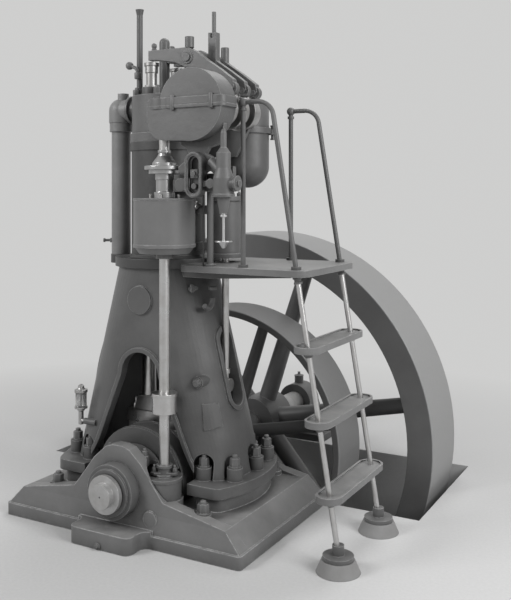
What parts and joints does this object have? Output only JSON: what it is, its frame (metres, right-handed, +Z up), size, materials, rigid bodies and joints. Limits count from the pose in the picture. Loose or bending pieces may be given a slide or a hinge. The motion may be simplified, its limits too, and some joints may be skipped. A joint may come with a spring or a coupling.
{
  "type": "vertical diesel engine",
  "caption": "Vertical A-frame diesel engine with an open crank arch, governor shaft, valve rockers, a platform with a ladder, a belt pulley and a large flywheel.",
  "frame": {"origin": "centre of the bedplate's flat underside, straight under the cylinder's axis", "axes": "+Z up along the cylinder; +Y along the crankshaft from its free end towards the flywheel; +X towards the side with the platform and the ladder"},
  "size_m": [2.652, 2.565, 4.0218],
  "materials": {
    "painted_iron": "satin",
    "sheet_iron": "satin",
    "bright_steel": "satin",
    "step_iron": "matte",
    "brass": "satin",
    "pad_stone": "matte"
  },
  "bodies": {
    "engine": {"bedplate": "painted_iron", "front_bearing": "painted_iron", "rear_bearing": "painted_iron", "gear_cover": "painted_iron", "crank_guard": "sheet_iron", "a_frame": "painted_iron", "cylinder_jacket": "painted_iron", "cylinder_head": "painted_iron", "air_pipe": "painted_iron", "air_elbow": "painted_iron", "vent_pipe": "sheet_iron", "gear_case_lower": "painted_iron", "gear_case_upper": "painted_iron", "camshaft": "bright_steel", "camshaft_bearing": "painted_iron", "rocker_stand": "painted_iron", "inlet_rocker": "painted_iron", "fuel_rocker": "painted_iron", "exhaust_rocker": "painted_iron", "inlet_spring": "bright_steel", "exhaust_spring": "bright_steel", "fuel_valve": "painted_iron", "regulator_link": "painted_iron", "pump_bracket": "painted_iron", "fuel_pump": "painted_iron", "pump_plunger": "bright_steel", "pump_rods": "sheet_iron", "drive_pot": "painted_iron", "foot_oiler": "brass", "air_compressor": "painted_iron", "compressor_rod": "bright_steel", "exhaust_pot": "painted_iron", "platform": "painted_iron", "platform_bracket": "painted_iron", "handrails": "painted_iron", "ladder_stiles": "bright_steel", "lower_step": "step_iron", "middle_step": "step_iron", "upper_step": "step_iron", "ladder_sockets": "painted_iron", "ladder_pads": "pad_stone", "outboard_bearing": "painted_iron"},
    "crank": {"crankshaft": "bright_steel", "flywheel": "painted_iron", "belt_pulley": "painted_iron"},
    "governor": {"governor_shaft": "bright_steel", "shaft_coupling": "bright_steel", "governor_drum": "painted_iron"},
    "rod": {"connecting_rod": "bright_steel"}
  },
  "joints": [
    {"name": "crank_turn", "type": "hinge", "parent": "engine", "child": "crank", "pos_m": [0, 0, 0.27], "axis": [0, 1, 0], "continuous": true},
    {"name": "governor_turn", "type": "hinge", "parent": "engine", "child": "governor", "pos_m": [0.236, -0.382, 1], "axis": [0, 0, 1], "continuous": true},
    {"name": "rod_turn", "type": "hinge", "parent": "crank", "child": "rod", "pos_m": [-0.14127, 0, 0.34512], "axis": [0, 1, 0], "continuous": true}
  ],
  "couplings": [
    {"joint": "governor_turn", "follows": "crank_turn", "ratio": 1},
    {"joint": "rod_turn", "follows": "crank_turn", "ratio": -1}
  ]
}
